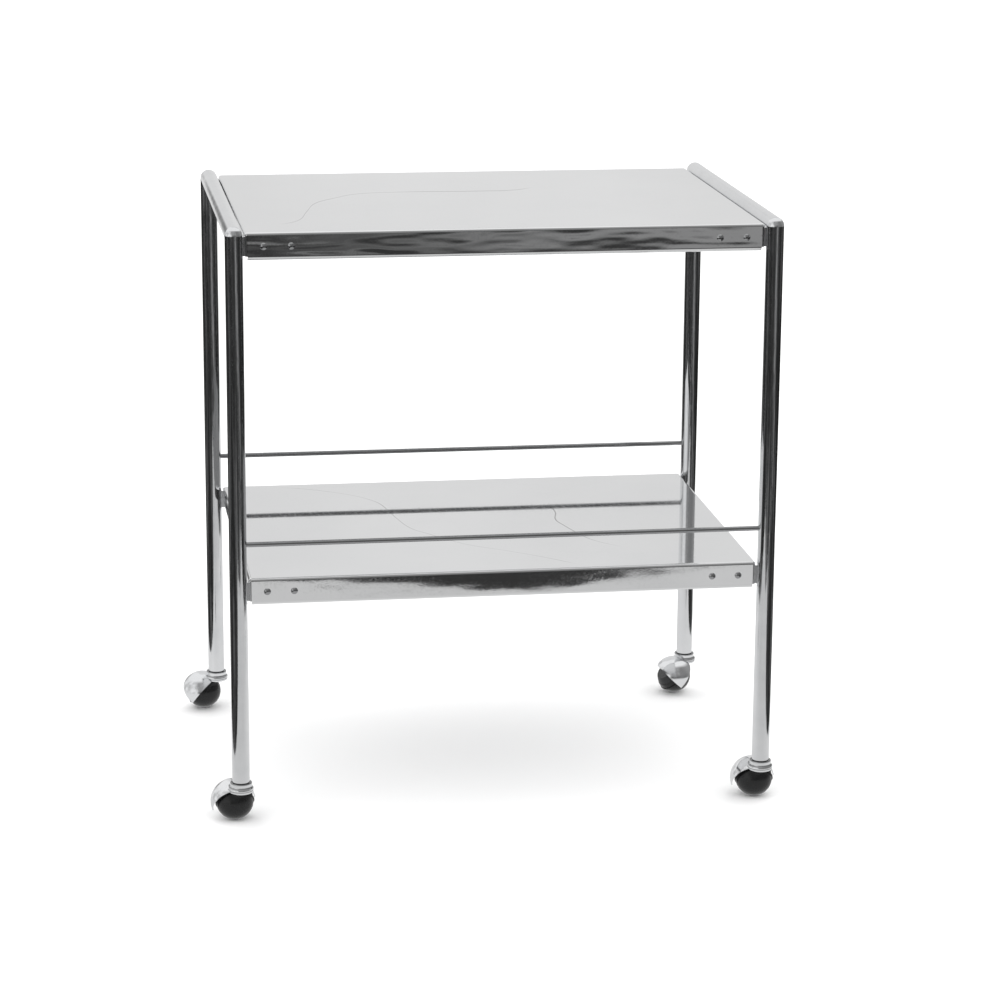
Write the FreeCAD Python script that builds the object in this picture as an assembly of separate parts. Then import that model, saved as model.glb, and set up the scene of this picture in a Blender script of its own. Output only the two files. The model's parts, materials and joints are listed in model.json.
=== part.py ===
import FreeCAD, Part
import math
import os

# Two-tier serving cart on four hooded ball casters.
# Frame: origin on the floor midway between the four swivel axes, +X to the right, +Y to the rear, +Z up.

Vec = FreeCAD.Vector
UP = Vec(0, 0, 1)
RIGHT = Vec(1, 0, 0)
REARWARD = Vec(0, 1, 0)

# ---- Driving dimensions, millimetres ----

OVERALL_WIDTH = 597.0        # over the two side hoops
LEG_SPACING = 410.0          # front leg axis to rear leg axis
TUBE_D = 19.0
TUBE_WALL = 1.5
TUBE_END_Z = 48.0            # cut end of every leg

TOP_Z = 650.0                # upper face of the top tray
LOWER_Z = 276.0              # upper face of the lower tray
HOOP_DROP = 3.0              # hoop's top run, centre line below the top tray's face

SHEET = 1.2                  # tray sheet thickness
TRAY_GAP = 1.5               # between a tray's side edge and the tube
APRON_OVERHANG = 1.0         # tray's front and rear faces beyond the leg axes
APRON_DEPTH = 30.0
LIP_DEPTH = 16.0             # side lips
FOLD_R = 3.5                 # outer radius of a fold
CORNER_NOTCH = 9.0           # side lips stop this far short of the aprons
HEM_R = 4.5                  # outer radius of the turn along an apron's lower edge
HEM_FLAT = 5.0               # flat part of the hem, turned in under the tray

RAIL_D = 5.5
RAIL_RISE = 37.5             # gallery rail's centre line above the lower tray

BRACKET_THICK = 2.0
BRACKET_HIGH = 20.0
BRACKET_LONG = 58.5
RIVET_FROM_LEG = (21.5, 50.5)
RIVET_D = 5.0
RIVET_HEAD_D = 7.6
RIVET_HEAD_H = 2.0
RIVET_TAIL_D = 7.0
RIVET_TAIL_H = 1.6

WHEEL_R = 20.5               # rolling sphere of a ball caster
AXLE_TILT = 45.0             # axle below the horizontal, towards the wheel's outer pole
OFFSET_ALONG_AXLE = 15.5     # ball centre behind the stem, seen from above, along the axle
TRAIL = 5.0                  # ball centre behind the stem, along the rolling direction

# Rest angle of each caster about its stem: the way the wheel's outer pole faces, from +X towards +Y.
SWIVEL_AT_REST = {
    "front_left": -86.0,
    "front_right": -97.0,
    "rear_left": -38.0,
    "rear_right": 10.0,
}

# ---- Worked out from the driving dimensions ----

TUBE_R = TUBE_D / 2
TUBE_BORE_R = TUBE_R - TUBE_WALL
HOOP_X = OVERALL_WIDTH / 2 - TUBE_R
LEG_Y = LEG_SPACING / 2
HOOP_TOP_Z = TOP_Z - HOOP_DROP
LEG_INNER_X = HOOP_X - TUBE_R
TRAY_HALF_X = LEG_INNER_X - TRAY_GAP
TRAY_HALF_Y = LEG_Y + APRON_OVERHANG
RAIL_Z = LOWER_Z + RAIL_RISE

SIDES = {"left": -1, "right": 1}
ENDS = {"front": -1, "rear": 1}


def cylinder(radius, start, direction, length):
    return Part.makeCylinder(radius, length, start, direction)


def box_between(low, high):
    size = high - low
    return Part.makeBox(size.x, size.y, size.z, low)


def half_space(point, normal, reach=120.0):
    """A block whose one face holds point, and which fills the side that normal points to."""
    block = Part.makeBox(2 * reach, 2 * reach, reach, Vec(-reach, -reach, 0))
    turn = FreeCAD.Rotation(UP, normal)
    block.Placement = FreeCAD.Placement(point, turn)
    return block


def revolve_profile(points, start, direction):
    """A closed outline of (radius, height) points, turned about an axis through start."""
    outline = Part.makePolygon([Vec(r, 0, h) for r, h in points + points[:1]])
    solid = Part.Face(outline).revolve(Vec(0, 0, 0), UP, 360)
    solid.Placement = FreeCAD.Placement(start, FreeCAD.Rotation(UP, direction))
    return solid


# ---- Side hoops ----

def half_rod(radius, start, direction, length, kept_side):
    """The half of a round rod that lies on one side of its own centre plane."""
    return cylinder(radius, start, direction, length).common(half_space(start, kept_side, 3 * LEG_SPACING))


def corner_ball(radius, corner, end):
    """The quarter of a ball that rounds the outside of a corner, swept about the left-right axis."""
    arc = Part.Arc(Vec(-radius, 0, 0), Vec(0, end * radius, 0), Vec(radius, 0, 0)).toShape()
    chord = Part.LineSegment(Vec(radius, 0, 0), Vec(-radius, 0, 0)).toShape()
    quarter = Part.Face(Part.Wire([arc, chord])).revolve(Vec(0, 0, 0), RIGHT * end, 90)
    quarter.translate(corner)
    return quarter


def hoop_bar(side, radius, foot_z):
    """One hoop as a round bar: two legs and a top run, mitred inside and ball-rounded outside each corner."""
    x = side * HOOP_X
    front_corner = Vec(x, -LEG_Y, HOOP_TOP_Z)
    pieces = [half_rod(radius, front_corner, REARWARD, LEG_SPACING, UP)]
    underside = half_rod(radius, front_corner, REARWARD, LEG_SPACING, UP * -1)
    for end in ENDS.values():
        corner = Vec(x, end * LEG_Y, HOOP_TOP_Z)
        foot = Vec(x, end * LEG_Y, foot_z)
        outward = REARWARD * end
        mitre_up = UP - outward
        pieces.append(corner_ball(radius, corner, end))
        pieces.append(half_rod(radius, foot, UP, HOOP_TOP_Z - foot_z, outward))
        inner_half = half_rod(radius, foot, UP, HOOP_TOP_Z - foot_z, outward * -1)
        pieces.append(inner_half.cut(half_space(corner, mitre_up, LEG_SPACING)))
        underside = underside.cut(half_space(corner, mitre_up * -1, LEG_SPACING))
    bar = underside
    for piece in pieces:
        bar = bar.fuse(piece)
    return bar.removeSplitter()


def side_hoop(side):
    bore = hoop_bar(side, TUBE_BORE_R, TUBE_END_Z - TUBE_WALL)
    tube = hoop_bar(side, TUBE_R, TUBE_END_Z).cut(bore)
    for end in ENDS.values():
        seat = Vec(side * HOOP_X, end * LEG_Y, RAIL_Z)
        tube = tube.cut(cylinder(RAIL_D / 2, seat, RIGHT * -side, TUBE_D))
    return tube


# ---- Trays ----

def tray_block(half_x, half_y, top_z, depth, fold_r):
    """A block with its four top edges and four upright corners rounded."""
    block = box_between(Vec(-half_x, -half_y, top_z - depth), Vec(half_x, half_y, top_z))
    rounded = []
    for edge in block.Edges:
        middle = edge.CenterOfMass
        if middle.z > top_z - 0.1 or abs(middle.z - (top_z - depth / 2)) < 0.1:
            rounded.append(edge)
    return block.makeFillet(fold_r, rounded)


def rivet_places(top_z):
    """Centre of each rivet in one apron pair, with the end of the cart it is on."""
    middle_z = top_z - APRON_DEPTH / 2
    places = []
    for end in ENDS.values():
        for side in SIDES.values():
            for inset in RIVET_FROM_LEG:
                places.append((end, Vec(side * (LEG_INNER_X - inset), end * TRAY_HALF_Y, middle_z)))
    return places


def apron_hem(end, top_z):
    """The rounded turn along an apron's lower edge and the narrow flat behind it."""
    bottom_z = top_z - APRON_DEPTH
    half_long = TRAY_HALF_X - FOLD_R
    middle_y = end * (TRAY_HALF_Y - HEM_R)
    start = Vec(-half_long, middle_y, bottom_z + HEM_R)
    ring = cylinder(HEM_R, start, RIGHT, 2 * half_long)
    ring = ring.cut(cylinder(HEM_R - SHEET, start, RIGHT, 2 * half_long))
    turn_ys = sorted((middle_y, end * TRAY_HALF_Y))
    quadrant = box_between(
        Vec(-half_long, turn_ys[0], bottom_z), Vec(half_long, turn_ys[1], bottom_z + HEM_R)
    )
    flat_ys = sorted((middle_y, middle_y - end * HEM_FLAT))
    flat = box_between(
        Vec(-half_long, flat_ys[0], bottom_z), Vec(half_long, flat_ys[1], bottom_z + SHEET)
    )
    return ring.common(quadrant).fuse(flat)


def tray(top_z):
    outer = tray_block(TRAY_HALF_X, TRAY_HALF_Y, top_z, APRON_DEPTH, FOLD_R)
    inner = tray_block(
        TRAY_HALF_X - SHEET, TRAY_HALF_Y - SHEET, top_z - SHEET, APRON_DEPTH, FOLD_R - SHEET
    )
    shell = outer.cut(inner)
    skirt_cut = Vec(TRAY_HALF_X + 1, TRAY_HALF_Y + 1, 0)
    skirt_low = Vec(0, 0, top_z - APRON_DEPTH - 1)
    skirt_high = Vec(0, 0, top_z - APRON_DEPTH + HEM_R)
    shell = shell.cut(box_between(skirt_low - skirt_cut, skirt_high + skirt_cut))
    for end in ENDS.values():
        shell = shell.fuse(apron_hem(end, top_z))
    shell = shell.removeSplitter()
    wall_x = TRAY_HALF_X - FOLD_R
    lip_y = TRAY_HALF_Y - SHEET - CORNER_NOTCH
    for side in SIDES.values():
        xs = sorted((side * wall_x, side * (TRAY_HALF_X + 1)))
        below_lip = box_between(
            Vec(xs[0], -lip_y, top_z - APRON_DEPTH - 1), Vec(xs[1], lip_y, top_z - LIP_DEPTH)
        )
        shell = shell.cut(below_lip)
        for end in ENDS.values():
            ys = sorted((end * lip_y, end * (TRAY_HALF_Y - SHEET)))
            notch = box_between(
                Vec(xs[0], ys[0], top_z - APRON_DEPTH - 1), Vec(xs[1], ys[1], top_z - FOLD_R)
            )
            shell = shell.cut(notch)
    for end, place in rivet_places(top_z):
        shell = shell.cut(cylinder(RIVET_D / 2, place, REARWARD * -end, SHEET + 1))
    return shell


def bracket(side, end, top_z):
    """A flat tab behind the apron, welded to the leg at its outer end and riveted to the apron."""
    face_y = end * (TRAY_HALF_Y - SHEET)
    back_y = face_y - end * BRACKET_THICK
    middle_z = top_z - APRON_DEPTH / 2
    xs = sorted((side * (LEG_INNER_X - BRACKET_LONG), side * (LEG_INNER_X + 2)))
    ys = sorted((face_y, back_y))
    plate = box_between(
        Vec(xs[0], ys[0], middle_z - BRACKET_HIGH / 2), Vec(xs[1], ys[1], middle_z + BRACKET_HIGH / 2)
    )
    plate = plate.cut(hoop_bar(side, TUBE_R, TUBE_END_Z))
    for inset in RIVET_FROM_LEG:
        hole_from = Vec(side * (LEG_INNER_X - inset), face_y + end, middle_z)
        plate = plate.cut(cylinder(RIVET_D / 2, hole_from, REARWARD * -end, BRACKET_THICK + 2))
    return plate


def domed_head(radius, height, start, direction):
    """A shallow cap of a sphere, flat side on start, bulging along direction."""
    sphere_r = (radius ** 2 + height ** 2) / (2 * height)
    centre = start + direction * (height - sphere_r)
    ball = Part.makeSphere(sphere_r, centre)
    return ball.common(half_space(start, direction))


def rivet(end, place):
    outward = REARWARD * end
    inner_face = place - outward * (SHEET + BRACKET_THICK)
    shank = cylinder(RIVET_D / 2, inner_face, outward, SHEET + BRACKET_THICK)
    head = domed_head(RIVET_HEAD_D / 2, RIVET_HEAD_H, place, outward)
    tail = cylinder(RIVET_TAIL_D / 2, inner_face, outward * -1, RIVET_TAIL_H)
    return shank.fuse(head).fuse(tail).removeSplitter()


def rivet_group(end_wanted, top_z):
    return Part.makeCompound([rivet(end, place) for end, place in rivet_places(top_z) if end == end_wanted])


# ---- Gallery rails ----

def gallery_rail(end):
    reach = HOOP_X - TUBE_BORE_R
    return cylinder(RAIL_D / 2, Vec(-reach, end * LEG_Y, RAIL_Z), RIGHT, 2 * reach)


# ---- Ball casters, each built about its own stem axis with the wheel's outer pole towards +X ----

BALL = Vec(-OFFSET_ALONG_AXLE, -TRAIL, WHEEL_R)
POLE = Vec(math.cos(math.radians(AXLE_TILT)), 0, -math.sin(math.radians(AXLE_TILT)))
RIM_TOP = Vec(math.sin(math.radians(AXLE_TILT)), 0, math.cos(math.radians(AXLE_TILT)))

SOCKET_FLANGE = 1.4
SOCKET_FLANGE_R = 9.3
SOCKET_LONG = 32.0
SOCKET_CAP = 1.5
STEM_R = 5.5
STEM_CLEARANCE = 0.05
STEM_TOP_Z = 77.0
STEM_FOOT_Z = 42.3
STEM_TIP = 1.5
RING_Z = 70.6
RING_HIGH = 1.8
RING_INNER_R = 4.7
RING_OUTER_R = 6.2
RING_SLIT = 1.6
RING_PLAY = 0.1
RING_FLOAT = 0.5

COLLAR_BORE_R = 10.3
COLLAR_FLOOR_Z = 46.0
COLLAR_RIM_Z = 47.2
CROWN_Z = 36.0               # underside of the crown that carries the collar

# Outline of the crown's skirt, its rolled lip and the cup above: radius, height.
CROWN_OUTLINE = [
    (0.0, CROWN_Z),
    (12.7, CROWN_Z),
    (13.1, 36.5),
    (13.5, 38.6),
    (13.7, 40.0),
    (13.5, 40.9),
    (12.9, 41.6),
    (12.2, 42.3),
    (11.9, 43.2),
    (11.9, 46.4),
    (11.6, 47.0),
    (11.1, COLLAR_RIM_Z),
    (0.0, COLLAR_RIM_Z),
]
WASHER_PLAY = 0.05
WASHER_R = 9.0

HOOD_CENTRE = BALL + Vec(-0.6, -1.8, 0)
HOOD_INNER_R = 23.4
HOOD_OUTER_R = 24.6
HOOD_FRONT_AT = 2.2          # hood's front edge crosses the axle this far beyond the wheel's rim plane
HOOD_FRONT_LEAN = 0.17       # slope of that edge, further over the wheel on the trailing side
HOOD_FRONT_DROOP = 0.11      # and further over it near the floor
HOOD_BACK_LIFT = 47.0        # the back edge's plane: its normal above the horizontal
HOOD_BACK_TURN = -15.0       # and turned about the stem, so that one tip hangs lower
HOOD_BACK_OFFSET = 2.0
NECK_R = 12.0
NECK_FOOT_Z = 30.0

AXLE_R = 3.0
AXLE_CLEARANCE = 0.05
BOSS_R = 5.5
HUB_BACK = -13.0             # distances along the axle from the ball's centre, outer pole positive
BOSS_FACE = -13.3
AXLE_END = 8.4
CLIP_FROM = 5.8
CLIP_THICK = 1.2
CLIP_R = 5.5
CAVITY_FROM = 5.5
CAVITY_R = 7.0
CORE_FRONT = 12.0
CORE_R = 17.6
CORE_BACK_R = 19.9
TYRE_BACK = -5.6
BEAD_R = 21.4
BEAD_FROM = 0.2
BEAD_WIDE = 1.4


def along_axle(distance):
    return BALL + POLE * distance


def socket():
    """Plastic sleeve pressed into the leg, with a flange against the tube's cut end."""
    bore_r = STEM_R + STEM_CLEARANCE
    groove_r = RING_OUTER_R + RING_PLAY
    flange_z = TUBE_END_Z - SOCKET_FLANGE
    top_z = TUBE_END_Z + SOCKET_LONG
    body = cylinder(TUBE_BORE_R, Vec(0, 0, TUBE_END_Z), UP, SOCKET_LONG)
    body = body.fuse(cylinder(SOCKET_FLANGE_R, Vec(0, 0, flange_z), UP, SOCKET_FLANGE))
    body = body.cut(cylinder(bore_r, Vec(0, 0, flange_z), UP, top_z - SOCKET_CAP - flange_z))
    groove = cylinder(groove_r, Vec(0, 0, RING_Z - RING_FLOAT), UP, RING_HIGH + 2 * RING_FLOAT)
    return body.cut(groove).removeSplitter()


def stem():
    groove_r = RING_INNER_R - RING_PLAY
    groove_low = RING_Z - RING_PLAY
    groove_high = RING_Z + RING_HIGH + RING_PLAY
    outline = [
        (0, STEM_FOOT_Z),
        (STEM_R, STEM_FOOT_Z),
        (STEM_R, groove_low),
        (groove_r, groove_low),
        (groove_r, groove_high),
        (STEM_R, groove_high),
        (STEM_R, STEM_TOP_Z - STEM_TIP),
        (STEM_R - STEM_TIP, STEM_TOP_Z),
        (0, STEM_TOP_Z),
    ]
    return revolve_profile(outline, Vec(0, 0, 0), UP)


def grip_ring():
    ring = cylinder(RING_OUTER_R, Vec(0, 0, RING_Z), UP, RING_HIGH)
    ring = ring.cut(cylinder(RING_INNER_R, Vec(0, 0, RING_Z), UP, RING_HIGH))
    slit = box_between(Vec(0, -RING_SLIT / 2, RING_Z), Vec(TUBE_R, RING_SLIT / 2, RING_Z + RING_HIGH))
    return ring.cut(slit)


def thrust_washer():
    thick = TUBE_END_Z - SOCKET_FLANGE - WASHER_PLAY - COLLAR_FLOOR_Z
    washer = cylinder(WASHER_R, Vec(0, 0, COLLAR_FLOOR_Z), UP, thick)
    return washer.cut(cylinder(STEM_R, Vec(0, 0, COLLAR_FLOOR_Z), UP, thick))


def hood():
    """Pressed dome over the wheel's back, with two pointed tips, a neck and a cup for the leg's end."""
    forward = POLE + REARWARD * HOOD_FRONT_LEAN + RIM_TOP * HOOD_FRONT_DROOP
    behind_wheel = half_space(along_axle(HOOD_FRONT_AT), forward * -1)
    dome = Part.makeSphere(HOOD_OUTER_R, HOOD_CENTRE)
    neck = cylinder(NECK_R, Vec(0, 0, NECK_FOOT_Z), UP, CROWN_Z + 1 - NECK_FOOT_Z)
    crown = revolve_profile(CROWN_OUTLINE, Vec(0, 0, 0), UP)
    shape = dome.fuse(neck).common(behind_wheel).fuse(crown)
    shape = shape.cut(Part.makeSphere(HOOD_INNER_R, HOOD_CENTRE))

    lift = math.radians(HOOD_BACK_LIFT)
    turn = math.radians(HOOD_BACK_TURN)
    upward = Vec(math.cos(lift) * math.cos(turn), math.cos(lift) * math.sin(turn), math.sin(lift))
    shape = shape.cut(half_space(BALL - upward * HOOD_BACK_OFFSET, upward * -1))

    shape = shape.cut(cylinder(COLLAR_BORE_R, Vec(0, 0, COLLAR_FLOOR_Z), UP, TUBE_D))
    shape = shape.cut(cylinder(STEM_R, Vec(0, 0, STEM_FOOT_Z), UP, TUBE_D))

    boss = cylinder(BOSS_R, along_axle(BOSS_FACE), POLE * -1, HOOD_OUTER_R)
    boss = boss.common(Part.makeSphere(HOOD_OUTER_R, HOOD_CENTRE))
    shape = shape.fuse(boss)
    shape = shape.cut(cylinder(AXLE_R, along_axle(AXLE_END), POLE * -1, 2 * HOOD_OUTER_R))
    return max(shape.removeSplitter().Solids, key=lambda solid: solid.Volume)


def axle():
    """Steel pin from the hood's outer face, through the boss, to the clip inside the wheel."""
    pin = cylinder(AXLE_R, along_axle(AXLE_END), POLE * -1, AXLE_END + HOOD_OUTER_R)
    return pin.common(Part.makeSphere(HOOD_OUTER_R, HOOD_CENTRE))


def axle_clip():
    clip = cylinder(CLIP_R, along_axle(CLIP_FROM), POLE, CLIP_THICK)
    return clip.cut(cylinder(AXLE_R, along_axle(CLIP_FROM), POLE, CLIP_THICK))


def wheel_core():
    """Hub and back half of the wheel, with its axle bore and the hollow that the clip turns in."""
    front = Part.makeSphere(CORE_R, BALL)
    front = front.cut(half_space(along_axle(CORE_FRONT), POLE))
    front = front.cut(half_space(along_axle(TYRE_BACK), POLE * -1))
    back = Part.makeSphere(CORE_BACK_R, BALL)
    back = back.cut(half_space(along_axle(TYRE_BACK), POLE))
    back = back.cut(half_space(along_axle(HUB_BACK), POLE * -1))
    core = front.fuse(back)
    core = core.cut(cylinder(AXLE_R + AXLE_CLEARANCE, along_axle(HUB_BACK - 1), POLE, CORE_R * 2))
    return core.cut(cylinder(CAVITY_R, along_axle(CAVITY_FROM), POLE, CORE_R))


def tyre():
    """Rolling shell of the wheel, with a raised bead round its rim."""
    shell = Part.makeSphere(WHEEL_R, BALL)
    shell = shell.cut(half_space(along_axle(TYRE_BACK), POLE * -1))
    shell = shell.fuse(cylinder(BEAD_R, along_axle(BEAD_FROM), POLE, BEAD_WIDE))
    return shell.cut(Part.makeSphere(CORE_R, BALL))


CASTER_PARTS = {
    "socket": socket,
    "stem": stem,
    "grip_ring": grip_ring,
    "thrust_washer": thrust_washer,
    "hood": hood,
    "axle": axle,
    "axle_clip": axle_clip,
    "wheel_core": wheel_core,
    "tyre": tyre,
}


def place_caster(shape, corner):
    end, side = corner.split("_")
    moved = shape.copy()
    moved.rotate(Vec(0, 0, 0), UP, SWIVEL_AT_REST[corner])
    moved.translate(Vec(SIDES[side] * HOOP_X, ENDS[end] * LEG_Y, 0))
    return moved


# ---- The whole cart ----

def build():
    nodes = {}
    for name, side in SIDES.items():
        nodes[name + "_hoop"] = side_hoop(side)
    levels = {"top": TOP_Z, "lower": LOWER_Z}
    for level, top_z in levels.items():
        nodes[level + "_tray"] = tray(top_z)
        for end_name, end in ENDS.items():
            nodes[f"{level}_{end_name}_rivets"] = rivet_group(end, top_z)
            for side_name, side in SIDES.items():
                nodes[f"{level}_{end_name}_{side_name}_bracket"] = bracket(side, end, top_z)
    for end_name, end in ENDS.items():
        nodes[end_name + "_gallery_rail"] = gallery_rail(end)
    for part_name, make in CASTER_PARTS.items():
        shape = make()
        for corner in SWIVEL_AT_REST:
            nodes[f"{corner}_{part_name}"] = place_caster(shape, corner)
    return nodes


os.makedirs("parts", exist_ok=True)
for node_name, node_shape in build().items():
    node_shape.exportStep(f"parts/{node_name}.step")
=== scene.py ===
import json
import math

import bmesh
import bpy
from mathutils import Matrix, Vector

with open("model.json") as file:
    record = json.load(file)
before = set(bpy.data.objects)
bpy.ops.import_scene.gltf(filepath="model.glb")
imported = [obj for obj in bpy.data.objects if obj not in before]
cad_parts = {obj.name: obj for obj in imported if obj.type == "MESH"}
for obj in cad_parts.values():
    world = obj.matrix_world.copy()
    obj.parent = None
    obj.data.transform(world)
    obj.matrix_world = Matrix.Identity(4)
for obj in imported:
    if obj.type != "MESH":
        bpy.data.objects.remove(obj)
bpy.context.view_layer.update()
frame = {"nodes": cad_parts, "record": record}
nodes = frame["nodes"]

# Camera: metres and radians. Yaw turns to the right from +Y, pitch turns down.
CAMERA_AT = Vector((-0.512, -3.473, 1.194))
CAMERA_YAW = 0.1535
CAMERA_PITCH = 0.2487
CAMERA_ROLL = 0.0072
SENSOR_MM = 36.0
LENS_MM = 114.1

# The pale paper under and behind the cart, which only reflections see.
PAPER_HALF_WIDTH = 0.53
PAPER_BACK_LEFT = -0.55
PAPER_BACK_RIGHT = 1.15
PAPER_FRONT = -1.225
PAPER_NOTCH_AT = 0.15        # the front edge curls back here
PAPER_NOTCH_WIDE = 0.27
PAPER_NOTCH_DEEP = 0.14
PAPER_BACK = 1.7
PAPER_TOP = 2.4
PAPER_CURVE = 0.35
PAPER_LIFT = 0.0008          # above the floor
PAPER_NARROW_FROM = -0.9
PAPER_NARROW_TO = 0.45
PAPER_WIDE_FROM = 0.55
CURVE_STEPS = 12
ACROSS_STEPS = 80
FLOOR_HALF = 30.0
BAND_FINENESS = 14.0         # how closely the dark room's streaks lie, top to bottom

# Lines of painted shade along creases in the two trays' flat sheet, as points (x, y) in metres.
TOP_CREASE = [(-0.2364, -0.1567), (-0.2170, -0.1368), (-0.2006, -0.0754), (-0.1838, -0.0141),
              (-0.1625, 0.0148), (-0.1333, 0.0434), (-0.0946, 0.0517), (0.0077, 0.0507),
              (0.0465, 0.0541), (0.0704, 0.0718)]
LEFT_CREASE = [(-0.2222, 0.1973), (-0.1426, 0.1545), (-0.1076, 0.1130), (-0.0965, 0.0736),
               (-0.0902, 0.0294), (-0.0773, -0.0222), (-0.0646, -0.0416), (-0.0266, -0.0946),
               (0.0136, -0.1269), (0.0559, -0.1647), (0.0808, -0.1914)]
RIGHT_CREASE = [(0.0930, 0.0672), (0.0957, 0.0370), (0.0904, -0.0010), (0.0950, -0.0243),
                (0.1019, -0.0507), (0.1171, -0.0939), (0.1451, -0.1264)]
CREASE_SPAN = 0.6            # the curves are drawn over this width, centred on the tray
CREASE_FADE = 0.015          # each crease fades in and out over this length
APRON_FROM = 0.2025          # the slow waves start at this distance front and rear
APRON_TO = 0.2045

# Painted dark bands on a caster's collar, shade under the tube end and dark reflected rings: height
# above the floor and half width, metres.
HOOD_SHADE_BANDS = [(0.0420, 0.0014), (0.0472, 0.0016), (0.0386, 0.0008)]
STEM_X = 0.289               # the four stem axes
STEM_Y = 0.205
COLLAR_R = 0.0138


def place_camera():
    cp, sp = math.cos(CAMERA_PITCH), math.sin(CAMERA_PITCH)
    forward = Vector((math.sin(CAMERA_YAW) * cp, math.cos(CAMERA_YAW) * cp, -sp))
    level = Vector((math.cos(CAMERA_YAW), -math.sin(CAMERA_YAW), 0.0))
    lift = level.cross(forward)
    right = level * math.cos(CAMERA_ROLL) + lift * math.sin(CAMERA_ROLL)
    up = lift * math.cos(CAMERA_ROLL) - level * math.sin(CAMERA_ROLL)
    data = bpy.data.cameras.new("camera")
    data.sensor_width = SENSOR_MM
    data.lens = LENS_MM
    camera = bpy.data.objects.new("camera", data)
    bpy.context.scene.collection.objects.link(camera)
    turn = Matrix((right, up, -forward)).transposed().to_4x4()
    camera.matrix_world = Matrix.Translation(CAMERA_AT) @ turn
    bpy.context.scene.camera = camera


# ---------------------------------------------------------------- node helpers

class Graph:
    def __init__(self, owner):
        owner.use_nodes = True
        self.tree = owner.node_tree
        self.tree.nodes.clear()

    def add(self, kind, inputs=(), **settings):
        n = self.tree.nodes.new(kind)
        for key, value in settings.items():
            setattr(n, key, value)
        for key, value in dict(inputs).items():
            self.set(n.inputs[key], value)
        return n

    def set(self, socket, value):
        if isinstance(value, bpy.types.NodeSocket):
            self.tree.links.new(value, socket)
        else:
            socket.default_value = value

    def math(self, operation, a, b=0.0):
        n = self.add("ShaderNodeMath", {0: a, 1: b}, operation=operation)
        return n.outputs[0]

    def mix(self, factor, a, b, blend="MIX"):
        n = self.add("ShaderNodeMix", data_type="RGBA", blend_type=blend)
        self.set(n.inputs[0], factor)
        self.set(n.inputs[6], a)
        self.set(n.inputs[7], b)
        return n.outputs[2]

    def coords(self, scale=(1, 1, 1), turn=(0, 0, 0)):
        if not hasattr(self, "object_coords"):
            self.object_coords = self.add("ShaderNodeTexCoord").outputs["Object"]
        n = self.add("ShaderNodeMapping", {"Scale": scale, "Rotation": turn})
        self.set(n.inputs["Vector"], self.object_coords)
        return n.outputs[0]

    def noise(self, vector, scale, detail=3.0, rough=0.5):
        values = {"Vector": vector, "Scale": scale, "Detail": detail, "Roughness": rough}
        return self.add("ShaderNodeTexNoise", values).outputs["Fac"]

    def spread(self, value, low, high, to_low, to_high):
        values = {"Value": value, "From Min": low, "From Max": high,
                  "To Min": to_low, "To Max": to_high}
        return self.add("ShaderNodeMapRange", values).outputs[0]

    def ramp(self, factor, stops):
        n = self.add("ShaderNodeValToRGB", {"Fac": factor})
        while len(n.color_ramp.elements) < len(stops):
            n.color_ramp.elements.new(0.5)
        for element, (place, value) in zip(n.color_ramp.elements, stops):
            element.position = place
            element.color = grey(value)
        return n.outputs[0]

    def bump(self, height, distance, strength=1.0, normal=None):
        values = {"Height": height, "Distance": distance, "Strength": strength}
        n = self.add("ShaderNodeBump", values)
        if normal is not None:
            self.set(n.inputs["Normal"], normal)
        return n.outputs[0]

    def finish(self, shader):
        out = self.add("ShaderNodeOutputMaterial")
        self.set(out.inputs[0], shader)


def grey(value, blue=0.0):
    return (value, value * (1 + blue * 0.4), value * (1 + blue), 1.0)


# ------------------------------------------------------------------- materials

def chrome(name, tone, along, wear=0.0, shade_bands=()):
    """Bright plating: fine polishing lines along the part, faint smears and pinhead pits."""
    m = bpy.data.materials.new(name)
    g = Graph(m)
    smear = g.noise(g.coords(), 38.0, 4.0, 0.6)
    lines = g.noise(g.coords(along), 900.0, 2.0, 0.6)
    pits = g.noise(g.coords(), 1500.0, 1.0)
    tint = g.mix(g.spread(smear, 0.35, 0.7, 0.0, 1.0), grey(tone, 0.02), grey(tone * 0.93, 0.03))
    # Painted shade and reflection: dark bands at set heights round each collar, darkening the
    # chrome's colour.
    for level, half_high in shade_bands:
        x, y, z = g.add("ShaderNodeSeparateXYZ", {0: g.coords()}).outputs
        off_x = g.math("SUBTRACT", g.math("ABSOLUTE", x), STEM_X)
        off_y = g.math("SUBTRACT", g.math("ABSOLUTE", y), STEM_Y)
        squared = g.math("ADD", g.math("MULTIPLY", off_x, off_x), g.math("MULTIPLY", off_y, off_y))
        collar = g.spread(g.math("SQRT", squared), COLLAR_R, COLLAR_R + 0.0007, 0.85, 0.0)
        gap = g.math("ABSOLUTE", g.math("SUBTRACT", z, level))
        shade_band = g.math("MULTIPLY", g.spread(gap, 0.0, half_high, 1.0, 0.0), collar)
        tint = g.mix(shade_band, tint, grey(0.12))
    rough = g.spread(smear, 0.3, 0.75, 0.045 + wear, 0.105 + wear)
    rough = g.math("ADD", rough, g.spread(lines, 0.4, 0.8, 0.0, 0.03))
    normal = g.bump(lines, 0.00002, 0.35)
    normal = g.bump(g.spread(pits, 0.72, 0.8, 1.0, 0.0), 0.00002, 0.5, normal)
    normal = g.bump(g.noise(g.coords(), 30.0, 1.0), 0.0004, 0.35, normal)
    values = {"Base Color": tint, "Metallic": 1.0, "Roughness": rough, "Normal": normal}
    g.finish(g.add("ShaderNodeBsdfPrincipled", values).outputs[0])
    return m


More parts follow.
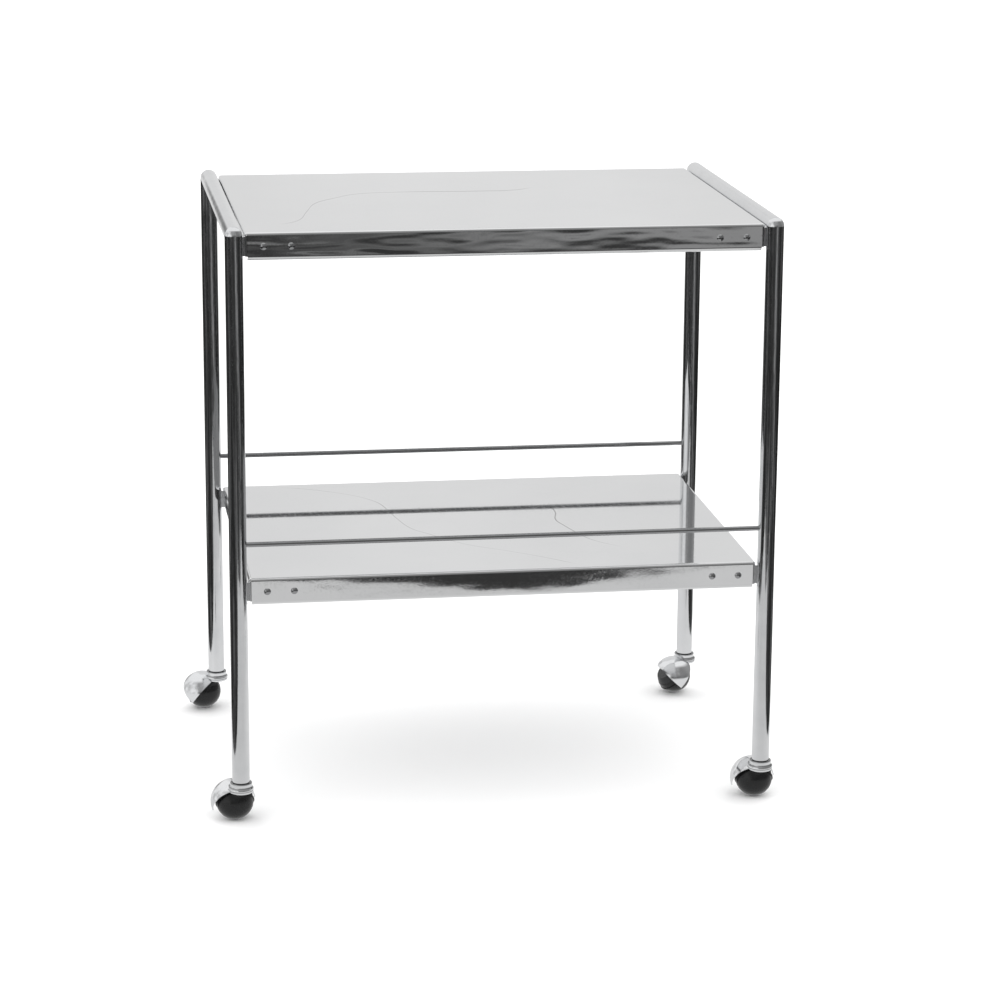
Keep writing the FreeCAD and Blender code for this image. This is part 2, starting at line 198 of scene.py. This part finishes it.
def crease_line(g, along, across, points, half_wide):
    """1 on a curve across = f(along), falling to 0 within half_wide of it; none beyond its ends."""
    points = sorted(points)
    middle = CREASE_SPAN / 2
    run = g.math("MULTIPLY", g.math("ADD", along, middle), 1 / CREASE_SPAN)
    curve = g.add("ShaderNodeFloatCurve", {"Value": run})
    knots = curve.mapping.curves[0].points
    while len(knots) < len(points):
        knots.new(0.5, 0.5)
    for knot, (u, v) in zip(knots, points):
        knot.location = ((u + middle) / CREASE_SPAN, (v + middle) / CREASE_SPAN)
    curve.mapping.update()
    place = g.math("MULTIPLY", g.math("ADD", across, middle), 1 / CREASE_SPAN)
    gap = g.math("ABSOLUTE", g.math("SUBTRACT", curve.outputs[0], place))
    line = g.spread(gap, 0.0, half_wide / CREASE_SPAN, 1.0, 0.0)
    first, last = points[0][0], points[-1][0]
    line = g.math("MULTIPLY", line, g.spread(along, first, first + CREASE_FADE, 0.0, 1.0))
    return g.math("MULTIPLY", line, g.spread(along, last - CREASE_FADE, last, 1.0, 0.0))


def mirror_sheet(name, wave_height, wave_rise, lengthwise, crosswise):
    """Polished sheet: wiping marks, painted shade along a few long creases, and slow waves along
    the folded aprons.
    """
    m = bpy.data.materials.new(name)
    g = Graph(m)
    place = g.coords()
    xyz = g.add("ShaderNodeSeparateXYZ", {0: place}).outputs
    smear = g.noise(place, 9.0, 5.0, 0.62)
    wiping = g.noise(g.coords((1.0, 0.16, 1.0), (0, 0, 0.5)), 420.0, 3.0, 0.6)
    # Painted shade: dark lines along the creases, made patchy, darken the sheet's colour.
    crease_shade = 0.0
    for points in lengthwise:
        crease_shade = g.math("MAXIMUM", crease_shade, crease_line(g, xyz[0], xyz[1], points, 0.0024))
    for points in crosswise:
        turned = [(y, x) for x, y in points]
        crease_shade = g.math("MAXIMUM", crease_shade, crease_line(g, xyz[1], xyz[0], turned, 0.0010))
    patches = g.spread(g.noise(place, 9.0, 1.0), 0.4, 0.6, 0.45, 1.0)
    crease_shade = g.math("MULTIPLY", crease_shade, patches)
    tone = g.mix(g.spread(smear, 0.35, 0.7, 0.0, 1.0), grey(0.86, 0.01), grey(0.835, 0.015))
    tone = g.mix(crease_shade, tone, grey(0.2))
    rough = g.spread(smear, 0.3, 0.75, 0.02, 0.06)
    rough = g.math("ADD", rough, g.spread(wiping, 0.5, 0.8, 0.0, 0.05))
    depth = g.math("ABSOLUTE", xyz[1])
    apron = g.spread(depth, APRON_FROM, APRON_TO, 0.05, 1.0)
    wave = g.noise(g.coords((0.6, 1.0, wave_rise)), 11.0, 2.0, 0.45)
    normal = g.bump(g.math("MULTIPLY", wave, apron), wave_height, 0.5)
    normal = g.bump(wiping, 0.00002, 0.25, normal)
    values = {"Base Color": tone, "Metallic": 1.0, "Roughness": rough, "Normal": normal}
    g.finish(g.add("ShaderNodeBsdfPrincipled", values).outputs[0])
    return m


def plated_steel(name):
    m = bpy.data.materials.new(name)
    g = Graph(m)
    grain = g.noise(g.coords((1, 1, 0.12)), 700.0, 3.0, 0.6)
    cloud = g.noise(g.coords(), 55.0, 3.0)
    tint = g.mix(cloud, grey(0.50, 0.03), grey(0.62, 0.02))
    rough = g.spread(grain, 0.3, 0.75, 0.22, 0.4)
    normal = g.bump(grain, 0.00003, 0.5)
    values = {"Base Color": tint, "Metallic": 1.0, "Roughness": rough, "Normal": normal}
    g.finish(g.add("ShaderNodeBsdfPrincipled", values).outputs[0])
    return m


def moulded(name, tone, low, high, coat=0.0):
    """Black moulding: a fine skin texture, dust and handling marks in the gloss."""
    m = bpy.data.materials.new(name)
    g = Graph(m)
    skin = g.noise(g.coords(), 1800.0, 2.0, 0.6)
    marks = g.noise(g.coords(), 90.0, 4.0, 0.65)
    dust = g.spread(g.noise(g.coords(), 420.0, 3.0, 0.7), 0.62, 0.8, 0.0, 0.05)
    tint = g.mix(marks, grey(tone, 0.06), grey(tone * 1.5, 0.06))
    tint = g.mix(dust, tint, grey(0.3))
    rough = g.spread(marks, 0.3, 0.75, low, high)
    normal = g.bump(skin, 0.00003, 0.3)
    values = {"Base Color": tint, "Roughness": rough, "Normal": normal,
              "Specular IOR Level": 0.3, "Coat Weight": coat, "Coat Roughness": 0.08}
    g.finish(g.add("ShaderNodeBsdfPrincipled", values).outputs[0])
    return m


def dress_nodes():
    tube = chrome("chromed_tube_metal", 0.80, (1.0, 1.0, 0.06))
    # Painted shade: the gallery rods and the rivets are darker copies of the chrome, tone 0.4,
    # standing in for the dark reflections they show.
    rod = chrome("gallery_rod_shaded_chrome", 0.4, (0.05, 1.0, 1.0))
    hood = chrome("chromed_hood_metal", 0.84, (1.0, 1.0, 1.0), 0.08, HOOD_SHADE_BANDS)
    rivet = chrome("rivet_shaded_chrome", 0.4, (1.0, 1.0, 1.0), 0.08)
    by_node = {
        "top_tray": mirror_sheet("top_tray_metal", 0.0016, 3.2, [TOP_CREASE], []),
        "lower_tray": mirror_sheet("lower_tray_metal", 0.0007, 2.0, [],
                                   [LEFT_CREASE, RIGHT_CREASE]),
        "front_gallery_rail": rod,
        "rear_gallery_rail": rod,
    }
    by_slot = {
        "chromed_tube": tube,
        "rivet": rivet,
        "bracket_steel": plated_steel("bracket_steel_metal"),
        "black_plastic": moulded("black_plastic_moulding", 0.02, 0.45, 0.6),
        "chromed_hood": hood,
        "wheel_hub": moulded("wheel_hub_moulding", 0.018, 0.22, 0.4),
        "wheel_tread": moulded("wheel_tread_moulding", 0.005, 0.2, 0.34, 0.12),
    }
    slots = {part["node"]: part["material_slot"] for part in frame["record"]["subparts"]}
    for name, obj in nodes.items():
        material = by_node[name] if name in by_node else by_slot[slots[name]]
        for i in range(max(1, len(obj.data.materials))):
            if obj.data.materials:
                obj.data.materials[i] = material
            else:
                obj.data.materials.append(material)


# ---------------------------------------------------------------------- studio

def sheet_object(name, rows, material):
    """A mesh from rows of points, joined row to row."""
    mesh = bmesh.new()
    grid = [[mesh.verts.new(p) for p in row] for row in rows]
    for lower, upper in zip(grid, grid[1:]):
        for a, b, c, d in zip(lower, lower[1:], upper[1:], upper):
            mesh.faces.new((a, b, c, d))
    data = bpy.data.meshes.new(name)
    mesh.to_mesh(data)
    mesh.free()
    for polygon in data.polygons:
        polygon.use_smooth = True
    data.materials.append(material)
    obj = bpy.data.objects.new(name, data)
    bpy.context.scene.collection.objects.link(obj)
    return obj


def floor_material():
    m = bpy.data.materials.new("floor_paint")
    g = Graph(m)
    cloud = g.noise(g.coords(), 1.3, 2.0)
    tint = g.mix(cloud, grey(0.90), grey(0.885))
    values = {"Base Color": tint, "Roughness": 0.9, "Specular IOR Level": 0.0}
    g.finish(g.add("ShaderNodeBsdfPrincipled", values).outputs[0])
    return m


def glowing_paper_material():
    """Paper that glows instead of being lit: its emitted brightness is fixed, a little lower at the
    back than under the cart, as painted light falloff.
    """
    m = bpy.data.materials.new("paper")
    g = Graph(m)
    place = g.add("ShaderNodeNewGeometry").outputs["Position"]
    depth = g.add("ShaderNodeSeparateXYZ", {0: place}).outputs[1]
    cloud = g.spread(g.noise(place, 2.5, 3.0), 0.3, 0.7, 0.96, 1.03)
    # Painted light falloff: the glow is brightest under the cart and dimmer to the front and to the
    # back.
    near = g.spread(depth, -0.5, 0.1, 0.62, 0.82)
    glow = g.math("MINIMUM", near, g.spread(depth, 0.1, 1.0, 0.82, 0.76))
    glow = g.math("MULTIPLY", glow, cloud)
    g.finish(g.add("ShaderNodeEmission", {"Color": grey(1.0), "Strength": glow}).outputs[0])
    return m


def build_floor():
    corner = FLOOR_HALF
    rows = [[(-corner, -corner, 0.0), (corner, -corner, 0.0)],
            [(-corner, corner, 0.0), (corner, corner, 0.0)]]
    floor = sheet_object("floor", rows, floor_material())
    floor.visible_glossy = False


def build_paper():
    """A sweep of white paper that only reflections see."""
    narrow = (-PAPER_HALF_WIDTH, PAPER_HALF_WIDTH)
    wide = (PAPER_BACK_LEFT, PAPER_BACK_RIGHT)
    profile = [(PAPER_NARROW_FROM, PAPER_LIFT, narrow), (PAPER_NARROW_TO, PAPER_LIFT, narrow),
               (PAPER_WIDE_FROM, PAPER_LIFT, wide),
               (PAPER_BACK - PAPER_CURVE, PAPER_LIFT, wide)]
    for i in range(1, CURVE_STEPS + 1):
        a = math.pi / 2 * i / CURVE_STEPS
        profile.append((PAPER_BACK - PAPER_CURVE + PAPER_CURVE * math.sin(a),
                        PAPER_CURVE * (1 - math.cos(a)), wide))
    profile.append((PAPER_BACK, PAPER_TOP, wide))
    across = [i / ACROSS_STEPS for i in range(ACROSS_STEPS + 1)]
    front = []
    for t in across:
        x = (2 * t - 1) * PAPER_HALF_WIDTH
        curl = math.exp(-((x - PAPER_NOTCH_AT) / PAPER_NOTCH_WIDE) ** 2)
        front.append((x, PAPER_FRONT + PAPER_NOTCH_DEEP * curl, PAPER_LIFT))
    rows = [front]
    for y, z, (left, right) in profile:
        rows.append([(left + (right - left) * t, y, z) for t in across])
    paper = sheet_object("paper", rows, glowing_paper_material())
    paper.visible_camera = False
    paper.visible_diffuse = False
    paper.visible_shadow = False
    paper.visible_transmission = False


def build_world():
    world = bpy.data.worlds.new("studio")
    bpy.context.scene.world = world
    g = Graph(world)
    direction = g.add("ShaderNodeTexCoord").outputs["Generated"]
    parts = g.add("ShaderNodeSeparateXYZ", {0: direction}).outputs
    azimuth = g.math("ARCTAN2", parts[0], g.math("MULTIPLY", parts[1], -1.0))
    turn = g.spread(azimuth, -math.pi, math.pi, 0.0, 1.0)
    low_room = g.ramp(turn, [(0.0, 0.04), (0.30, 0.03), (0.47, 0.035), (0.575, 0.085),
                             (0.66, 0.035), (0.74, 0.025), (1.0, 0.04)])
    wall = g.noise(direction, 3.0, 3.0)
    height = parts[2]
    high_room = g.mix(g.spread(height, 0.02, 0.28, 0.0, 1.0), grey(0.08), grey(0.55))
    high_room = g.mix(wall, high_room, grey(0.1))
    stretched = g.math("MULTIPLY", height, BAND_FINENESS)
    bands = g.add("ShaderNodeCombineXYZ", {0: azimuth, 1: stretched}).outputs[0]
    streak = g.spread(g.noise(bands, 1.6, 2.0), 0.5, 0.63, 0.6, 4.0)
    streak = g.add("ShaderNodeCombineColor", {0: streak, 1: streak, 2: streak}).outputs[0]
    low_room = g.mix(1.0, low_room, streak, "MULTIPLY")
    room = g.mix(g.spread(height, 0.0, 0.12, 0.0, 1.0), low_room, high_room)
    above = g.spread(height, -0.14, -0.07, 0.0, 1.0)
    behind = g.math("MULTIPLY", above, g.spread(parts[1], -0.4, 0.1, 0.0, 1.0))
    room = g.mix(behind, room, g.mix(wall, grey(0.76), grey(0.6)))
    gap = g.math("MULTIPLY", g.spread(parts[0], -0.42, -0.36, 0.0, 1.0),
                 g.spread(parts[0], -0.18, -0.12, 1.0, 0.0))
    room = g.mix(g.math("MULTIPLY", behind, gap), room, grey(0.16))
    window = g.math("MULTIPLY", above, g.spread(parts[0], -0.4, -0.58, 0.0, 1.0))
    room = g.mix(window, room, g.mix(g.spread(wall, 0.4, 0.6, 0.0, 1.0), grey(0.95), grey(0.55)))
    wall_right = g.math("MULTIPLY", above, g.spread(parts[0], 0.3, 0.5, 0.0, 0.8))
    room = g.mix(wall_right, room, grey(0.2))
    rise = g.math("ADD", height, g.math("MULTIPLY", parts[1], 0.55))
    sky = g.mix(g.spread(rise, 0.6, 0.8, 0.0, 1.0), room, grey(0.95))
    rays = g.add("ShaderNodeLightPath").outputs
    glossy = g.add("ShaderNodeBackground", {"Color": sky, "Strength": 1.0}).outputs[0]
    soft = g.add("ShaderNodeBackground", {"Color": grey(1.0), "Strength": 1.5}).outputs[0]
    pale = g.add("ShaderNodeBackground", {"Color": grey(0.98), "Strength": 1.0}).outputs[0]
    both = g.add("ShaderNodeMixShader", {0: rays["Is Glossy Ray"], 1: soft, 2: glossy})
    seen = g.add("ShaderNodeMixShader", {0: rays["Is Camera Ray"], 1: both.outputs[0], 2: pale})
    out = g.add("ShaderNodeOutputWorld")
    g.set(out.inputs[0], seen.outputs[0])


def area_light(name, at, towards, size, power):
    data = bpy.data.lights.new(name, "AREA")
    data.shape = "RECTANGLE"
    data.size, data.size_y = size
    data.energy = power
    light = bpy.data.objects.new(name, data)
    bpy.context.scene.collection.objects.link(light)
    light.location = at
    aim = Vector(towards) - Vector(at)
    light.rotation_mode = "QUATERNION"
    light.rotation_quaternion = aim.to_track_quat("-Z", "Y")
    light.visible_glossy = False


def build_lights():
    area_light("overhead", (0.2, 0.1, 2.8), (0.0, 0.0, 0.3), (2.4, 2.0), 9.0)
    area_light("key", (-1.9, -1.7, 2.2), (0.0, 0.0, 0.4), (1.2, 1.2), 6.0)


bpy.context.scene.view_settings.view_transform = "Standard"
place_camera()
dress_nodes()
build_floor()
build_paper()
build_world()
build_lights()
